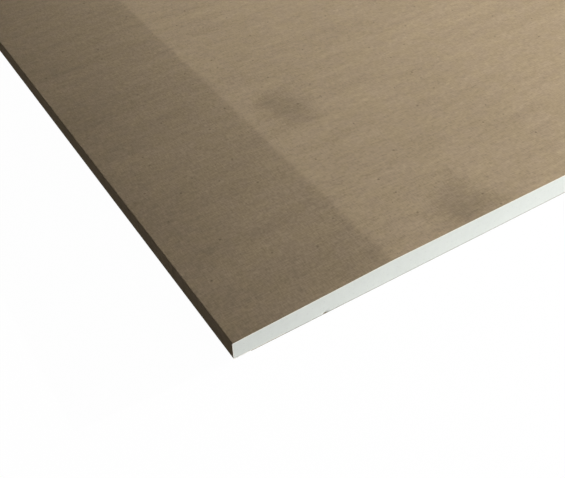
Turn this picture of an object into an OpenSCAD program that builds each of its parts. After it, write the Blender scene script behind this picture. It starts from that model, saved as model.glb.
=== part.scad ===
// Tapered-edge gypsum wallboard, lying flat on its back with its face up.
// A cast gypsum core lies between two paper liners. The face paper wraps both long edges
// and is turned under the back, where the back paper laps over it. Both ends are cut square.
// X runs across the board, Y along it and Z up, and the origin is the middle of its back.

/* [Board] */
// Length of the board, between its two cut ends
board_l = 2500; // [1800:50:3600]
// Width of the board, between its two long edges
board_w = 1200; // [600:50:1250]
// Thickness of the board in its flat field
board_t = 12.5; // [9.5:0.5:18]

/* [Tapered edges] */
// Width of the joint recess along each long edge
taper_w = 80; // [40:5:100]
// Depth of the joint recess at the long edge
taper_d = 2.5; // [0.5:0.1:3.5]
// Radius that blends the recess into the flat field
taper_blend_r = 100; // [20:10:300]
// Outside radius of the two folds that the face paper makes along each long edge
fold_r = 0.5; // [0.5:0.1:2]

/* [Paper liners] */
// Thickness of the face paper
face_paper_t = 0.4; // [0.2:0.05:0.6]
// Thickness of the back paper
back_paper_t = 0.35; // [0.2:0.05:0.6]
// Width of the flap of face paper turned under the back at each long edge
flap_w = 25; // [15:1:40]
// Distance from each long edge to the edge of the back paper
back_paper_inset = 8; // [3:1:12]

/* [Hidden] */

edge_x = board_w / 2;
taper_a = atan(taper_d / taper_w);
crease_r = 0.015;

// The paper can't be folded tighter than round a crease on its inside
outer_fold_r = max(fold_r, face_paper_t + crease_r);
fold_steps = 6;
blend_steps = 4;

// Centres of the three arcs of the right-hand edge, which every layer of the board shares
blend_centre = [
    edge_x - taper_w - taper_blend_r * tan(taper_a / 2),
    board_t - taper_blend_r
];
upper_fold_centre = [
    edge_x - outer_fold_r,
    board_t - taper_d + outer_fold_r * tan(taper_a) - outer_fold_r / cos(taper_a)
];
lower_fold_centre = [edge_x - outer_fold_r, back_paper_t + outer_fold_r];

// Points on an arc, from one angle to another
function arc(centre, r, from, to, steps) =
    [for (i = [0:steps]) let (a = from + (to - from) * i / steps) centre + r * [cos(a), sin(a)]];

// One surface of the face paper on the right-hand half, from the field, down the taper and
// round the two folds to the end of the flap. depth 0 is the outside of the paper.
function right_wrap(depth) = concat(
    arc(blend_centre, taper_blend_r - depth, 90, 90 - taper_a, blend_steps),
    arc(upper_fold_centre, outer_fold_r - depth, 90 - taper_a, 0, fold_steps),
    arc(lower_fold_centre, outer_fold_r - depth, 0, -90, fold_steps),
    [[edge_x - flap_w, back_paper_t + depth]]
);

// The points in the other order
function reversed(points) = [for (i = [len(points) - 1:-1:0]) points[i]];

// The points mirrored to the left-hand half
function mirrored(points) = [for (p = points) [-p.x, p.y]];

// One surface of the face paper from the left-hand flap to the right-hand flap
function wrap(depth) = concat(reversed(mirrored(right_wrap(depth))), right_wrap(depth));

// A cross-section in X and Z, run along the whole board
module along_board() {
    translate([0, board_l / 2, 0])
        rotate([90, 0, 0])
            linear_extrude(board_l)
                children();
}

// The cast core fills the face paper's wrap and comes down to the back paper between the flaps
module gypsum_core() {
    color("#d9ddd7")
        along_board()
            polygon(concat(
                wrap(face_paper_t),
                [[edge_x - flap_w, back_paper_t], [flap_w - edge_x, back_paper_t]]
            ));
}

// One sheet over the face, both tapers and both long edges, with a flap under each edge
module face_paper() {
    color("#9c8b71")
        along_board()
            polygon(concat(wrap(0), reversed(wrap(face_paper_t))));
}

// A flat sheet that covers the back and laps over both flaps
module back_paper() {
    back_paper_w = board_w - 2 * back_paper_inset;
    color("#85765f")
        translate([-back_paper_w / 2, -board_l / 2, 0])
            cube([back_paper_w, board_l, back_paper_t]);
}

gypsum_core();
face_paper();
back_paper();
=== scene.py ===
"""A tapered-edge drywall sheet: cast gypsum between two paper liners, lying flat with its face up.

Metres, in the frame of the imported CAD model: X across the board, Y along it, Z up.
"""

import math

import bpy
import numpy as np
from mathutils import Matrix, Vector, noise


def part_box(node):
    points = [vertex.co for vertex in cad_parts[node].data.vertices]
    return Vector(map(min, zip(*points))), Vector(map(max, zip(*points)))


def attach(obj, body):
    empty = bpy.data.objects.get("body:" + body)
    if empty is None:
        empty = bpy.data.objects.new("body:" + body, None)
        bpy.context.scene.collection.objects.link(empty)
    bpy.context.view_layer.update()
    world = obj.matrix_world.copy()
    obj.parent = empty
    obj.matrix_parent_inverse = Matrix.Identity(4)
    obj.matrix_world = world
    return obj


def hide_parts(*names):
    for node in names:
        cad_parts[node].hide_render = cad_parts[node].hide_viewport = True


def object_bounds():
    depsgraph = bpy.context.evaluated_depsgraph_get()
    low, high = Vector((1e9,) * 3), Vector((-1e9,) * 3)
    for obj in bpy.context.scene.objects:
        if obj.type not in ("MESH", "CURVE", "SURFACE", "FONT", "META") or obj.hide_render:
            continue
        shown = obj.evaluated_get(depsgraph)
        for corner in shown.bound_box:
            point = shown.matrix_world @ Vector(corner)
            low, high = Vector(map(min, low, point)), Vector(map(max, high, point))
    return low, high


MM = 0.001

# Sizes that the CAD model's boxes don't give, the same as in its source
TAPER_W = 80 * MM
TAPER_D = 2.5 * MM
TAPER_BLEND_R = 100 * MM
FOLD_R = 0.5 * MM
FLAP_W = 25 * MM
FOLD_STEPS = 6
BLEND_STEPS = 4

# How finely the meshes are cut
PAPER_ROWS = 400
PAPER_FIELD_COLUMNS = 40
PAPER_TAPER_COLUMNS = 6
SUPPORT = 0.05 * MM
CORE_ROWS = 20
CORE_COLUMN_W = 1 * MM
CORE_END_ROWS = 10
BACK_ROWS = 125
BACK_COLUMNS = 60
SHARP_ANGLE = math.radians(40)

# Relief of the face: how high it is, and the distance in metres over which each wave repeats
SWELL = 0.10 * MM
SWELL_ALONG = 0.83
SWELL_ALONG_BEND = 0.91
SWELL_ACROSS = 0.47
SWELL_ACROSS_BEND = 1.3
COCKLE = 0.05 * MM
COCKLE_LENGTH = 0.14
COCKLE_WIDTH = 0.024

# Relief of the cut ends: its depth, and how often a millimetre it changes. The seeds keep the two ends apart.
END_ROUGHNESS = 0.012 * MM
END_ROUGHNESS_RATE = 0.55
END_PIT_DEPTH = 0.06 * MM
END_PIT_RATE = 0.62
END_PIT_LEVEL = 0.56
FRONT_END_SEED = 3.7
REAR_END_SEED = 11.3

# How far in the back paper's long edges wander, and how often a metre
BACK_EDGE_WANDER = 0.4 * MM
BACK_EDGE_RATE = 9

# The small chip in the lower edge of the front cut end, measured from the left long edge
CHIP_X = 45 * MM
CHIP_R = 0.9 * MM
CHIP_DEPTH = 0.7 * MM

# Finishes, as linear colours
FACE_PAPER = (0.370, 0.287, 0.184)
FACE_PAPER_COOL = (0.368, 0.285, 0.191)
BACK_PAPER = (0.29, 0.235, 0.16)
FACE_PAPER_CUT = (0.92, 0.90, 0.81)
BACK_PAPER_CUT = (0.38, 0.36, 0.29)
GYPSUM = (0.77, 0.80, 0.757)

# How deep each finish's fine grain looks
FACE_PAPER_BUMP = 0.03 * MM
BACK_PAPER_BUMP = 0.05 * MM
PAPER_CUT_BUMP = 0.01 * MM
GYPSUM_BUMP = 0.012 * MM

# Painted shade in the face paper's colour, standing in for the light falling off towards each long edge and
# for the recess sloping away from it, as tones: over a wide strip of the field, in the recess as a whole, and
# across the recess as far as the edge
FIELD_SHADE = 0.90
FIELD_SHADE_W = 180 * MM
RECESS_SHADE = 0.955
LONG_EDGE_SHADE = 0.75
RIDGE_BLUR = 1.5 * MM

# Dirt on the face: two smudges, each in several lobes, and small marks. X and Y from the front left corner,
# the radius, all in millimetres, and the darkness
HANDLING_MARKS = [
    (104, 125, 21, 0.24), (107, 110, 12, 0.13), (98, 133, 10, 0.08),
    (128, 10, 24, 0.24), (137, 27, 11, 0.12), (144, 3, 14, 0.10),
    (75, 4, 8, 0.06), (61, 5, 6, 0.05), (6, 19, 1.3, 0.25), (22, 34, 1.2, 0.2),
]

# The key light, as seen from the board's front left corner: height and turn in degrees, distance and radius
# in metres, and power in watts
KEY_RISE = 8.4
KEY_TURN = 3
KEY_DISTANCE = 40
KEY_RADIUS = 0.08
KEY_POWER = 543000
# The key fades in from left to right: how far outside the left long edge it begins, and over what width
KEY_FADE_FROM = 0.25
KEY_FADE_W = 0.62

# The card that keeps the key off the right long edge: how far outside it the card stands, how far it rises
# above the top of that edge, and how far it reaches past the front end
FLAG_GAP = 20 * MM
FLAG_RISE = 3.05 * MM
FLAG_REACH = 1 * MM

# The other lights: power, place and size of the area lights, and strength of the suns and of the even fill
OVERHEAD_POWER = 4
OVERHEAD_Z = 1.5
OVERHEAD_W = 1.0
OVERHEAD_L = 1.6
FRONT_LEFT_POWER = 1.8
FRONT_LEFT_X = -0.36
FRONT_RIGHT_POWER = 0.7
FRONT_RIGHT_X = 0.4
FRONT_DISTANCE = 0.48
FRONT_Z = 0.12
FRONT_SIZE = 0.25
LEFT_STRENGTH = 0.18
BEHIND_STRENGTH = 1.9
UNDER_STRENGTH = 1.6
FILL_STRENGTH = 0.10

# The floor: half its width, how far below the board it lies, and how much of it is plain white
FLOOR_HALF_W = 60.0
FLOOR_GAP = 0.1 * MM
FLOOR_WHITE = 0.985

# The camera: its place from the board's front left corner, its angles in degrees and its lens in millimetres
CAMERA_PLACE = (-93.1 * MM, -193.9 * MM, 269.6 * MM)
CAMERA_DOWN = 43.49
CAMERA_TURN = 31.31
CAMERA_ROLL = -1.71
CAMERA_LENS = 53.66
CAMERA_SENSOR_W = 36

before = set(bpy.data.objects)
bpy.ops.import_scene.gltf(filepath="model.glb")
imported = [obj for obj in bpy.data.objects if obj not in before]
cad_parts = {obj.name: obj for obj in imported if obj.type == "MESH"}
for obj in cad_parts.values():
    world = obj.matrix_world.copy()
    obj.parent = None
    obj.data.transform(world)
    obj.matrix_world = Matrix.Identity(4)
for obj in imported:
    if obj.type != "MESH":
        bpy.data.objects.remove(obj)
cad_low, cad_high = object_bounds()
EDGE_X = cad_high.x
END_Y = cad_high.y
BOARD_T = cad_high.z
BACK_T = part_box("back_paper")[1].z
FACE_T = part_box("gypsum_core")[0].x - cad_low.x
BACK_EDGE_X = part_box("back_paper")[1].x


# ---- Section of the board ----

def arc(centre, radius, start, end, steps):
    """Points on an arc, from one angle to another, in degrees."""
    angles = np.radians(np.linspace(start, end, steps + 1))
    return [(centre[0] + radius * math.cos(a), centre[1] + radius * math.sin(a)) for a in angles]


def between(start, end, steps):
    """Points on a straight run between two arcs, with one close to each end so that it is shaded flat."""
    start, end = np.array(start), np.array(end)
    close = SUPPORT / np.linalg.norm(end - start)
    shares = [close, *np.linspace(0, 1, steps + 1)[1:-1], 1 - close]
    return [tuple(start + (end - start) * share) for share in shares]


def upper_path(depth):
    """The face paper's surface from the field to the outermost point of the upper fold, on the right."""
    slope = math.atan(TAPER_D / TAPER_W)
    slope_deg = math.degrees(slope)
    blend = (EDGE_X - TAPER_W - TAPER_BLEND_R * math.tan(slope / 2), BOARD_T - TAPER_BLEND_R)
    fold = (EDGE_X - FOLD_R, BOARD_T - TAPER_D + FOLD_R * math.tan(slope) - FOLD_R / math.cos(slope))
    field_to_taper = arc(blend, TAPER_BLEND_R - depth, 90, 90 - slope_deg, BLEND_STEPS)
    upper_fold = arc(fold, FOLD_R - depth, 90 - slope_deg, 0, FOLD_STEPS)
    taper = between(field_to_taper[-1], upper_fold[0], PAPER_TAPER_COLUMNS)
    return [*field_to_taper, *taper, *upper_fold]


def lower_path(depth):
    """The face paper's surface from the lower fold's outermost point to the flap's end, on the right."""
    lower_fold = arc((EDGE_X - FOLD_R, BACK_T + FOLD_R), FOLD_R - depth, 0, -90, FOLD_STEPS)
    flap_end = (EDGE_X - FLAP_W, BACK_T + depth)
    return [*lower_fold, *between(lower_fold[-1], flap_end, 3), flap_end]


def wrap(depth):
    """One surface of the face paper from the left-hand flap, over the face, to the right-hand flap."""
    upper, lower = upper_path(depth), lower_path(depth)
    side = between(upper[-1], lower[0], 2)
    right = [*upper, *side, *lower]
    left = [(-x, z) for x, z in reversed(right)]
    return np.array([*left, *between(left[-1], right[0], PAPER_FIELD_COLUMNS), *right])


def core_columns():
    """Where the core's columns stand: evenly across it, and at each step of the paper's folds."""
    straight = EDGE_X - FOLD_R
    even = np.linspace(-straight, straight, round(2 * straight / CORE_COLUMN_W) + 1)
    folds = [x for x, _ in upper_path(FACE_T) + lower_path(FACE_T) if x > straight]
    return np.unique(np.round([*even, *folds, *(-x for x in folds)], 9))


def core_top(x):
    """Height of the core's upper surface under the face paper."""
    upper = np.array(upper_path(FACE_T))
    return np.interp(np.abs(x), upper[:, 0], upper[:, 1])


def core_bottom(x):
    """Height of the core's lower surface: on the back paper, and raised by the flap near a long edge."""
    lower = np.array(lower_path(FACE_T))[::-1]
    on_flap = np.interp(np.abs(x), lower[:, 0], lower[:, 1])
    return np.where(np.abs(x) < EDGE_X - FLAP_W, BACK_T, on_flap)


# ---- Relief ----

def relief(x, y, z):
    """How far the face rises, by a slow swell and shallow cockles that run across it. None at the back."""
    along_bend = 0.11 * math.sin(math.tau * x / SWELL_ALONG_BEND)
    across_bend = 0.2 * math.sin(math.tau * y / SWELL_ACROSS_BEND)
    swell = math.sin(math.tau * (y / SWELL_ALONG + along_bend))
    swell += 0.6 * math.sin(math.tau * (x / SWELL_ACROSS + across_bend) + 1.0)
    cockle = noise.fractal(Vector((x / COCKLE_LENGTH, y / COCKLE_WIDTH, 0.0)), 1.0, 2.0, 2)
    share = min(1.0, z / BOARD_T) ** 2
    return (SWELL * 0.5 * swell + COCKLE * cockle) * share


def raised(points):
    """The points, moved by the relief of the face."""
    return np.array([(x, y, z + relief(x, y, z)) for x, y, z in points])


def end_relief(x, z, seed):
    """How far behind the flat a point on a cut end lies: fine roughness and sparse pits, none in front."""
    p = Vector((x * 1000, z * 1000, seed))
    rough = noise.fractal(p * END_ROUGHNESS_RATE, 0.8, 2.1, 4)
    depth = END_ROUGHNESS * (0.5 + 0.5 * rough)
    pit = noise.noise(p * END_PIT_RATE + Vector((31.0, 7.0, 0.0)))
    depth += END_PIT_DEPTH * max(0.0, pit - END_PIT_LEVEL) / (1 - END_PIT_LEVEL)
    return max(0.0, depth)


def chip(x, z):
    """Depth of the small chip in the lower edge of the front end."""
    away = math.hypot((x + EDGE_X - CHIP_X) * 0.7, z - BACK_T)
    return CHIP_DEPTH * max(0.0, 1 - away / CHIP_R)


# ---- Meshes ----

def grid_faces(rows, columns, first=0, closed=False, flip=False):
    """Quads between rows of points, each row holding the same number of columns."""
    r, c = np.meshgrid(np.arange(rows - 1), np.arange(columns if closed else columns - 1), indexing="ij")
    right = (c + 1) % columns
    near, far = r * columns, (r + 1) * columns
    quads = np.stack([near + c, near + right, far + right, far + c], -1).reshape(-1, 4) + first
    return quads[:, ::-1] if flip else quads


def make_piece(name, points, faces, materials, material_of_face=None):
    """A mesh object in the board's frame, smooth where it bends gently, which rides on the board."""
    mesh = bpy.data.meshes.new(name)
    mesh.from_pydata(np.asarray(points).tolist(), [], [list(map(int, f)) for f in faces])
    for material in materials:
        mesh.materials.append(material)
    if material_of_face is not None:
        mesh.polygons.foreach_set("material_index", np.asarray(material_of_face, np.int32))
    mesh.polygons.foreach_set("use_smooth", np.ones(len(mesh.polygons), bool))
    mesh.set_sharp_from_angle(angle=SHARP_ANGLE)
    mesh.validate()
    mesh.update()
    piece = bpy.data.objects.new(name, mesh)
    bpy.context.scene.collection.objects.link(piece)
    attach(piece, "root")
    return piece


def sweep(section, rows):
    """The points of an X and Z section, repeated in rows from one end of the board to the other."""
    stations = np.linspace(-END_Y, END_Y, rows)
    count = len(section)
    x = np.tile(section[:, 0], rows)
    z = np.tile(section[:, 1], rows)
    return np.stack([x, np.repeat(stations, count), z], -1)


def face_liner(materials):
    """The face paper: a closed loop of its outer and inner surface, swept along the board."""
    outer = wrap(0)
    inner = wrap(FACE_T)
    loop = np.concatenate([outer, inner[::-1]])
    count = len(outer)
    points = raised(sweep(loop, PAPER_ROWS + 1))
    sides = grid_faces(PAPER_ROWS + 1, len(loop), closed=True)
    last = PAPER_ROWS * len(loop)
    near = [(len(loop) - 1 - i, len(loop) - 2 - i, i + 1, i) for i in range(count - 1)]
    far = [tuple(last + i for i in reversed(face)) for face in near]
    ends = np.array(near + far)
    index = [0] * len(sides) + [1] * len(ends)
    return make_piece("face_liner", points, [*sides, *ends], materials, index)


def core_end(x, top, bottom, y, seed, with_chip):
    """The rows of points on one cut end, from its lower edge to its upper edge."""
    behind = -math.copysign(1, y)
    points = []
    for row in range(CORE_END_ROWS + 1):
        share = row / CORE_END_ROWS
        for px, low, high in zip(x, bottom, top):
            pz = low + (high - low) * share
            depth = end_relief(px, pz, seed) + (chip(px, pz) if with_chip else 0)
            points.append((px, y + behind * depth, pz))
    return points


def skin_lines(front_edge, first_middle, rear_edge, count):
    """The numbers of a skin's points, row by row, given the first in each of its edges and in its middle."""
    row = np.arange(count)
    middle = [row + first_middle + k * count for k in range(CORE_ROWS - 1)]
    return [row + front_edge, *middle, row + rear_edge]


def skin_faces(lines, flip):
    """Quads between the rows of a skin."""
    faces = []
    for a, b in zip(lines[:-1], lines[1:]):
        quads = np.stack([a[:-1], a[1:], b[1:], b[:-1]], -1)
        faces.extend(quads[:, ::-1] if flip else quads)
    return faces


def core_side(top_lines, bottom_lines, side, rows, count, first_rear, flip):
    """The faces that close the core along one long edge. The first and last take in a cut end's edge."""
    top = [line[side] for line in top_lines]
    bottom = [line[side] for line in bottom_lines]
    front = [side + k * count for k in range(rows)]
    rear = [first_rear + side + k * count for k in range(rows)]
    faces = [front + [top[1], bottom[1]]]
    for a in range(1, len(top) - 2):
        faces.append([bottom[a], top[a], top[a + 1], bottom[a + 1]])
    faces.append([bottom[-2], top[-2]] + rear[::-1])
    return [face[::-1] for face in faces] if flip else faces


def core_points(x, top, bottom):
    """The core's points: its front end, its rear end, and its upper and lower skin between them."""
    front = core_end(x, top, bottom, -END_Y, FRONT_END_SEED, True)
    rear = core_end(x, top, bottom, END_Y, REAR_END_SEED, False)
    stations = np.linspace(-END_Y, END_Y, CORE_ROWS + 1)[1:-1]
    skin_top = [(px, py, pz) for py in stations for px, pz in zip(x, top)]
    skin_bottom = [(px, py, pz) for py in stations for px, pz in zip(x, bottom)]
    return raised([*front, *rear, *skin_top, *skin_bottom])


def cast_core(material):
    """The gypsum core: a skin between its two cut ends, which are finely rough and pitted."""
    x = core_columns()
    points = core_points(x, core_top(x), core_bottom(x))
    count = len(x)
    rows = CORE_END_ROWS + 1
    first_rear = rows * count
    first_top = 2 * rows * count
    first_bottom = first_top + (CORE_ROWS - 1) * count
    upper_edge = (rows - 1) * count
    top_lines = skin_lines(upper_edge, first_top, first_rear + upper_edge, count)
    bottom_lines = skin_lines(0, first_bottom, first_rear, count)
    faces = [*grid_faces(rows, count), *grid_faces(rows, count, first_rear, flip=True)]
    faces += skin_faces(top_lines, False) + skin_faces(bottom_lines, True)
    for side, flip in ((0, False), (count - 1, True)):
        faces += core_side(top_lines, bottom_lines, side, rows, count, first_rear, flip)
    return make_piece("cast_core", points, faces, [material])


def back_liner(materials):
    """The back paper: a flat sheet over the flaps, its two long edges wandering a little."""
    stations = np.linspace(-END_Y, END_Y, BACK_ROWS + 1)
    shares = np.linspace(-1, 1, BACK_COLUMNS + 1)
    points = []
    for z in (0.0, BACK_T):
        for y in stations:
            wander = noise.fractal(Vector((y * BACK_EDGE_RATE, 4.2, 0.0)), 1.0, 2.0, 3)
            half = BACK_EDGE_X - BACK_EDGE_WANDER * (0.5 + 0.5 * wander)
            points.extend((half * share, y, z) for share in shares)
    columns = BACK_COLUMNS + 1
    rows = BACK_ROWS + 1
    upper = rows * columns
    faces = [*grid_faces(rows, columns, flip=True), *grid_faces(rows, columns, upper)]
    skin = len(faces)
    rim = [*range(columns), *(r * columns + columns - 1 for r in range(1, rows))]
    rim += [*range(rows * columns - 2, (rows - 1) * columns - 1, -1)]
    rim += [r * columns for r in range(rows - 2, 0, -1)]
    for a, b in zip(rim, rim[1:] + rim[:1]):
        faces.append((a, b, b + upper, a + upper))
    index = [0] * skin + [1] * (len(faces) - skin)
    return make_piece("back_liner", points, faces, materials, index)


# ---- Materials ----

def add(tree, kind, inputs=None, **settings):
    """A new shader node, with its settings, and its inputs linked or set."""
    made = tree.nodes.new(kind)
    for key, value in settings.items():
        setattr(made, key, value)
    for key, value in (inputs or {}).items():
        if isinstance(value, bpy.types.NodeSocket):
            tree.links.new(value, made.inputs[key])
        else:
            made.inputs[key].default_value = value
    return made


def new_material(name):
    """An empty node material, with its tree and its board coordinates in millimetres."""
    material = bpy.data.materials.new(name)
    material.use_nodes = True
    tree = material.node_tree
    tree.nodes.clear()
    place = add(tree, "ShaderNodeTexCoord").outputs["Object"]
    in_mm = add(tree, "ShaderNodeVectorMath", {0: place, "Scale": 1000.0}, operation="SCALE")
    return material, tree, in_mm.outputs["Vector"]


def stretched(tree, vector, scale):
    """The coordinates, scaled along each axis."""
    return add(tree, "ShaderNodeVectorMath", {0: vector, 1: scale}, operation="MULTIPLY").outputs["Vector"]


def mottle(tree, vector, size, detail=3.0, rough=0.55):
    """Soft noise from 0 to 1 whose blotches are about size millimetres across."""
    inputs = {"Vector": vector, "Scale": 1 / size, "Detail": detail, "Roughness": rough}
    return add(tree, "ShaderNodeTexNoise", inputs).outputs["Fac"]


def remap(tree, value, low, high, to_low, to_high, smooth=False):
    """The value, taken from one range to another and kept inside it."""
    inputs = {"Value": value, "From Min": low, "From Max": high, "To Min": to_low, "To Max": to_high}
    kind = "SMOOTHSTEP" if smooth else "LINEAR"
    return add(tree, "ShaderNodeMapRange", inputs, interpolation_type=kind).outputs["Result"]


def maths(tree, operation, a, b):
    """Two values added, multiplied and so on."""
    return add(tree, "ShaderNodeMath", {0: a, 1: b}, operation=operation).outputs["Value"]


def product(tree, values):
    """All the values multiplied together."""
    total = values[0]
    for value in values[1:]:
        total = maths(tree, "MULTIPLY", total, value)
    return total


def tinted(tree, colour, tone):
    """A colour made lighter or darker by a tone around 1."""
    return add(tree, "ShaderNodeVectorMath", {0: colour, "Scale": tone}, operation="SCALE").outputs["Vector"]


def mixed(tree, share, first, second):
    """A colour between two others."""
    inputs = {0: share, 6: (*first, 1.0), 7: (*second, 1.0)}
    return add(tree, "ShaderNodeMix", inputs, data_type="RGBA").outputs[2]


def wandering(tree, vector, size, reach):
    """The coordinates pushed about by soft noise, which gives what follows them an uneven outline."""
    inputs = {"Vector": vector, "Scale": 1 / size, "Detail": 3.0}
    push = add(tree, "ShaderNodeTexNoise", inputs).outputs["Color"]
    centred = add(tree, "ShaderNodeVectorMath", {0: push, 1: (0.5, 0.5, 0.5)}, operation="SUBTRACT")
    inputs = {0: centred.outputs["Vector"], 1: (reach, reach, 0.0), 2: vector}
    return add(tree, "ShaderNodeVectorMath", inputs, operation="MULTIPLY_ADD").outputs["Vector"]


def specks(tree, vector, spacing, radius, darkness, share):
    """Sparse dark specks over the first two coordinates: a tone of 1, and less inside a dot in some cells."""
    inputs = {"Vector": vector, "Scale": 1 / spacing, "Randomness": 1.0}
    cells = add(tree, "ShaderNodeTexVoronoi", inputs, voronoi_dimensions="2D")
    inside = remap(tree, cells.outputs["Distance"], 0.4 * radius / spacing, radius / spacing, 1.0, 0.0, True)
    pick = add(tree, "ShaderNodeSeparateColor", {"Color": cells.outputs["Color"]}).outputs["Red"]
    chosen = remap(tree, pick, share, share * 0.8, 0.0, 1.0)
    return maths(tree, "SUBTRACT", 1.0, product(tree, [inside, chosen, darkness]))


def on_cut_end(tree, vector):
    """The coordinates with Z in the place of Y, for patterns on the cut ends."""
    parts = add(tree, "ShaderNodeSeparateXYZ", {"Vector": vector})
    swapped = {"X": parts.outputs["X"], "Y": parts.outputs["Z"], "Z": parts.outputs["Y"]}
    return add(tree, "ShaderNodeCombineXYZ", swapped).outputs["Vector"]


def smudge(tree, vector, x, y, radius, darkness):
    """A soft dark smudge on the face, placed from the front left corner of the board, in millimetres."""
    centre = (x - EDGE_X / MM, y - END_Y / MM, BOARD_T / MM)
    away = add(tree, "ShaderNodeVectorMath", {0: vector, 1: centre}, operation="DISTANCE").outputs["Value"]
    return remap(tree, away, 0.0, radius, 1.0 - darkness, 1.0, True)


def surface(tree, colour, roughness, height, bump):
    """The shader of a matt surface, with its bump, joined to the output."""
    normal = add(tree, "ShaderNodeBump", {"Height": height, "Distance": bump, "Strength": 1.0})
    inputs = {"Base Color": colour, "Normal": normal.outputs["Normal"]}
    shader = add(tree, "ShaderNodeBsdfPrincipled", inputs)
    shader.inputs["Roughness"].default_value = roughness
    shader.inputs["Specular IOR Level"].default_value = 0.0
    output = add(tree, "ShaderNodeOutputMaterial")
    tree.links.new(shader.outputs["BSDF"], output.inputs["Surface"])


def painted_edge_shade(tree, vector):
    """Painted shade: the paper's colour darkens a little towards both long edges, and more in the recesses
    beside them, as the light falling off and the recesses sloping away from it would make it look.
    """
    x = add(tree, "ShaderNodeSeparateXYZ", {"Vector": vector}).outputs["X"]
    from_middle = maths(tree, "ABSOLUTE", x, 0.0)
    edge = EDGE_X / MM
    ridge = edge - TAPER_W / MM
    blur = RIDGE_BLUR / MM
    # Painted shade: field, recess and outer are tones that darken the colour where light would fall off
    field = remap(tree, from_middle, ridge - FIELD_SHADE_W / MM, ridge, 1.0, FIELD_SHADE)
    recess = remap(tree, from_middle, ridge - blur, ridge + blur, 1.0, RECESS_SHADE, True)
    outer = remap(tree, from_middle, ridge, edge, 1.0, LONG_EDGE_SHADE)
    return product(tree, [field, recess, outer])


def fibre_tone(tree, vector, contrast):
    """Short paper fibres lying both ways, as a tone around 1."""
    along = mottle(tree, stretched(tree, vector, (1.6, 0.35, 1.0)), 0.9, 2.0)
    across = mottle(tree, stretched(tree, vector, (0.35, 1.5, 1.0)), 1.0, 2.0)
    both = maths(tree, "ADD", along, across)
    return remap(tree, both, 0.6, 1.4, 1 - contrast, 1 + contrast)


def handling_marks(tree, vector):
    """The smudges and small marks near the front left corner, as a tone, with uneven outlines."""
    uneven = wandering(tree, vector, 9, 16)
    return product(tree, [smudge(tree, uneven, *mark) for mark in HANDLING_MARKS])


def streaks(tree, vector, size, contrast):
    """Faint lines that run across the board, as a height from 0 to 1 and as a tone around 1."""
    height = mottle(tree, stretched(tree, wandering(tree, vector, 40, 10), (0.13, 1.0, 1.0)), size, 2.0)
    return height, remap(tree, height, 0.3, 0.7, 1 - contrast, 1 + contrast)


def face_paper_material():
    """Grey-brown paper with streaks, fibres, specks and smudges, and painted shade that darkens it towards
    the long edges.
    """
    material, tree, place = new_material("face_paper")
    broad_height, broad_streaks = streaks(tree, place, 7.0, 0.055)
    _, fine_streaks = streaks(tree, place, 2.5, 0.03)
    tones = [
        # painted shade towards both long edges, standing in for the light falling off there
        painted_edge_shade(tree, place),
        broad_streaks,
        fine_streaks,
        handling_marks(tree, place),
        remap(tree, mottle(tree, place, 42), 0.3, 0.7, 0.97, 1.03),
        remap(tree, mottle(tree, place, 3), 0.3, 0.7, 0.97, 1.03),
        fibre_tone(tree, place, 0.22),
        specks(tree, place, 17.0, 0.75, 0.34, 0.45),
        specks(tree, stretched(tree, place, (1.0, 0.55, 1.0)), 7.0, 0.35, 0.22, 0.5),
    ]
    hue = mixed(tree, remap(tree, mottle(tree, place, 8), 0.4, 0.6, 0.0, 1.0), FACE_PAPER, FACE_PAPER_COOL)
    lines = maths(tree, "MULTIPLY", broad_height, 3.0)
    grain = maths(tree, "ADD", mottle(tree, place, 0.8, 4.0, 0.6), lines)
    surface(tree, tinted(tree, hue, product(tree, tones)), 0.85, grain, FACE_PAPER_BUMP)
    return material


def back_paper_material():
    """Plain brown paper, mottled and specked."""
    material, tree, place = new_material("back_paper")
    tones = [
        remap(tree, mottle(tree, place, 55), 0.3, 0.7, 0.93, 1.07),
        remap(tree, mottle(tree, place, 6), 0.3, 0.7, 0.95, 1.05),
        fibre_tone(tree, place, 0.12),
        specks(tree, place, 9.0, 0.7, 0.4, 0.5),
    ]
    height = maths(tree, "ADD", mottle(tree, place, 0.9, 4.0, 0.6), mottle(tree, place, 5.0))
    surface(tree, tinted(tree, BACK_PAPER, product(tree, tones)), 0.88, height, BACK_PAPER_BUMP)
    return material


def paper_cut_material(name, colour):
    """The plies of a paper liner where it is cut through."""
    material, tree, place = new_material(name)
    tone = remap(tree, mottle(tree, place, 0.5), 0.3, 0.7, 0.93, 1.05)
    height = mottle(tree, place, 0.3)
    surface(tree, tinted(tree, colour, tone), 0.9, height, PAPER_CUT_BUMP)
    return material


def gypsum_material():
    """Pale gypsum, finely mottled, with a few faint specks on its cut ends."""
    material, tree, place = new_material("gypsum")
    tones = [
        remap(tree, mottle(tree, place, 30), 0.3, 0.7, 0.985, 1.015),
        remap(tree, mottle(tree, place, 3.5), 0.3, 0.7, 0.985, 1.015),
        remap(tree, mottle(tree, place, 0.5), 0.3, 0.7, 0.98, 1.02),
        specks(tree, on_cut_end(tree, place), 2.6, 0.42, 0.08, 0.35),
    ]
    height = mottle(tree, place, 0.45, 5.0, 0.65)
    surface(tree, tinted(tree, GYPSUM, product(tree, tones)), 0.93, height, GYPSUM_BUMP)
    return material


# ---- Floor, light and camera ----

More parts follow.
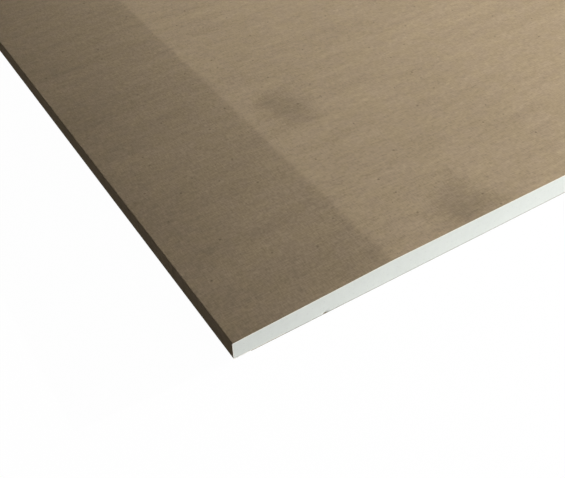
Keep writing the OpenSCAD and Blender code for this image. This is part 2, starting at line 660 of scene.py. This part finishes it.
def floor_material():
    """White to the eye with only a faint shadow, and open from below, so that the back can be looked at."""
    material = bpy.data.materials.new("floor")
    material.use_nodes = True
    tree = material.node_tree
    tree.nodes.clear()
    lit = add(tree, "ShaderNodeBsdfDiffuse", {"Color": (0.85, 0.85, 0.85, 1.0)})
    white = add(tree, "ShaderNodeEmission", {"Color": (1.0, 1.0, 1.0, 1.0), "Strength": 1.0})
    pale = add(tree, "ShaderNodeMixShader", {0: FLOOR_WHITE, 1: lit.outputs[0], 2: white.outputs[0]})
    below = add(tree, "ShaderNodeNewGeometry").outputs["Backfacing"]
    clear = add(tree, "ShaderNodeBsdfTransparent")
    both = add(tree, "ShaderNodeMixShader", {0: below, 1: pale.outputs[0], 2: clear.outputs[0]})
    output = add(tree, "ShaderNodeOutputMaterial")
    tree.links.new(both.outputs[0], output.inputs["Surface"])
    return material


def make_floor():
    """A wide level floor under the board. It is seen but casts no light or shade of its own."""
    half = FLOOR_HALF_W
    mesh = bpy.data.meshes.new("floor")
    corners = [(-half, -half, 0), (half, -half, 0), (half, half, 0), (-half, half, 0)]
    mesh.from_pydata(corners, [], [(0, 1, 2, 3)])
    mesh.materials.append(floor_material())
    floor = bpy.data.objects.new("floor", mesh)
    bpy.context.scene.collection.objects.link(floor)
    floor.location.z = -FLOOR_GAP
    floor.visible_shadow = False
    floor.visible_diffuse = False
    floor.visible_glossy = False


def aimed(location, target):
    """Where a light stands and how it is turned, to shine at a target."""
    direction = Vector(target) - Vector(location)
    turn = direction.to_track_quat("-Z", "Y").to_matrix().to_4x4()
    return Matrix.Translation(location) @ turn


def add_light(name, kind, energy, location, target, **settings):
    """A light at a place, aimed at a target."""
    light = bpy.data.lights.new(name, kind)
    light.energy = energy
    for key, value in settings.items():
        setattr(light, key, value)
    made = bpy.data.objects.new(name, light)
    bpy.context.scene.collection.objects.link(made)
    made.matrix_world = aimed(location, target)


def add_key():
    """A far light that rakes low across the board from the right.

    Its cone is a half-space whose rim stands along the board, outside the left long edge, so that the light
    fades in evenly from that edge towards the middle.
    """
    corner = Vector((-EDGE_X, -END_Y, 0))
    rise, turn = math.radians(KEY_RISE), math.radians(KEY_TURN)
    away = Vector((math.cos(rise) * math.cos(turn), -math.cos(rise) * math.sin(turn), math.sin(rise)))
    place = corner + away * KEY_DISTANCE
    rim_x = corner.x - KEY_FADE_FROM
    inwards = Vector((place.z, 0, rim_x - place.x)).normalized()
    fade = inwards.x * KEY_FADE_W / KEY_DISTANCE
    settings = {"spot_size": math.pi, "spot_blend": fade, "shadow_soft_size": KEY_RADIUS}
    add_light("key", "SPOT", KEY_POWER, place, place + inwards, **settings)


def add_flag():
    """A low card close to the right long edge, unseen by the camera, which keeps the key off that side."""
    x = EDGE_X + FLAG_GAP
    height = BOARD_T - TAPER_D + FLAG_RISE
    front = -END_Y - FLAG_REACH
    mesh = bpy.data.meshes.new("flag")
    corners = [(x, front, 0), (x, END_Y, 0), (x, END_Y, height), (x, front, height)]
    mesh.from_pydata(corners, [], [(0, 1, 2, 3)])
    flag = bpy.data.objects.new("flag", mesh)
    bpy.context.scene.collection.objects.link(flag)
    flag.visible_camera = False
    flag.visible_diffuse = False
    flag.visible_glossy = False


def add_front_light(name, power, x):
    """A small softbox low before the front cut end."""
    add_light(name, "AREA", power, (x, -END_Y - FRONT_DISTANCE, FRONT_Z), (x, -END_Y, 0), size=FRONT_SIZE)


def add_sun(name, strength, direction, spread):
    """A sun, from the direction in which it stands and its angle across in degrees."""
    add_light(name, "SUN", strength, direction, (0, 0, 0), angle=math.radians(spread))


def light_studio():
    """The raking key and its card, three softboxes, and suns from the left, from behind and from below."""
    add_key()
    add_flag()
    above = (EDGE_X * 0.3, -END_Y * 0.4)
    settings = {"shape": "RECTANGLE", "size": OVERHEAD_W, "size_y": OVERHEAD_L}
    add_light("overhead", "AREA", OVERHEAD_POWER, (*above, OVERHEAD_Z), (*above, 0), **settings)
    add_front_light("front_left", FRONT_LEFT_POWER, FRONT_LEFT_X)
    add_front_light("front_right", FRONT_RIGHT_POWER, FRONT_RIGHT_X)
    add_sun("left", LEFT_STRENGTH, (-1.0, 0.0, 0.05), 3)
    add_sun("behind", BEHIND_STRENGTH, (0.0, 1.0, 0.05), 3)
    add_sun("under", UNDER_STRENGTH, (0.1, 0.1, -1.0), 60)


def make_world():
    """White to the eye, and a weak even fill to everything else."""
    world = bpy.data.worlds.new("studio")
    world.use_nodes = True
    tree = world.node_tree
    tree.nodes.clear()
    seen = add(tree, "ShaderNodeBackground", {"Color": (1.0, 1.0, 1.0, 1.0), "Strength": 1.0})
    fill = add(tree, "ShaderNodeBackground", {"Color": (1.0, 1.0, 1.0, 1.0), "Strength": FILL_STRENGTH})
    eye = add(tree, "ShaderNodeLightPath").outputs["Is Camera Ray"]
    mix = add(tree, "ShaderNodeMixShader", {0: eye, 1: fill.outputs[0], 2: seen.outputs[0]})
    output = add(tree, "ShaderNodeOutputWorld")
    tree.links.new(mix.outputs[0], output.inputs["Surface"])
    bpy.context.scene.world = world


def make_camera():
    """Looks down on the board's front left corner, from a little outside it."""
    corner = Vector((-EDGE_X, -END_Y, 0))
    location = corner + Vector(CAMERA_PLACE)
    down, turn, roll = (math.radians(a) for a in (CAMERA_DOWN, CAMERA_TURN, CAMERA_ROLL))
    forward = Vector((math.sin(turn) * math.cos(down), math.cos(turn) * math.cos(down), -math.sin(down)))
    level = Vector((math.cos(turn), -math.sin(turn), 0))
    right = level * math.cos(roll) + level.cross(forward) * math.sin(roll)
    up = right.cross(forward)
    data = bpy.data.cameras.new("camera")
    data.sensor_width = CAMERA_SENSOR_W
    data.lens = CAMERA_LENS
    data.clip_start = 0.01
    data.clip_end = 200
    data.dof.use_dof = False
    camera = bpy.data.objects.new("camera", data)
    bpy.context.scene.collection.objects.link(camera)
    axes = Matrix((right, up, -forward)).transposed().to_4x4()
    camera.matrix_world = Matrix.Translation(location) @ axes
    bpy.context.scene.camera = camera


# ---- The scene ----

bpy.context.scene.view_settings.view_transform = "Standard"
make_camera()
light_studio()
make_world()
make_floor()

face = face_liner([face_paper_material(), paper_cut_material("face_paper_cut", FACE_PAPER_CUT)])
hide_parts("face_paper")
core = cast_core(gypsum_material())
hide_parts("gypsum_core")
back = back_liner([back_paper_material(), paper_cut_material("back_paper_cut", BACK_PAPER_CUT)])
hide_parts("back_paper")
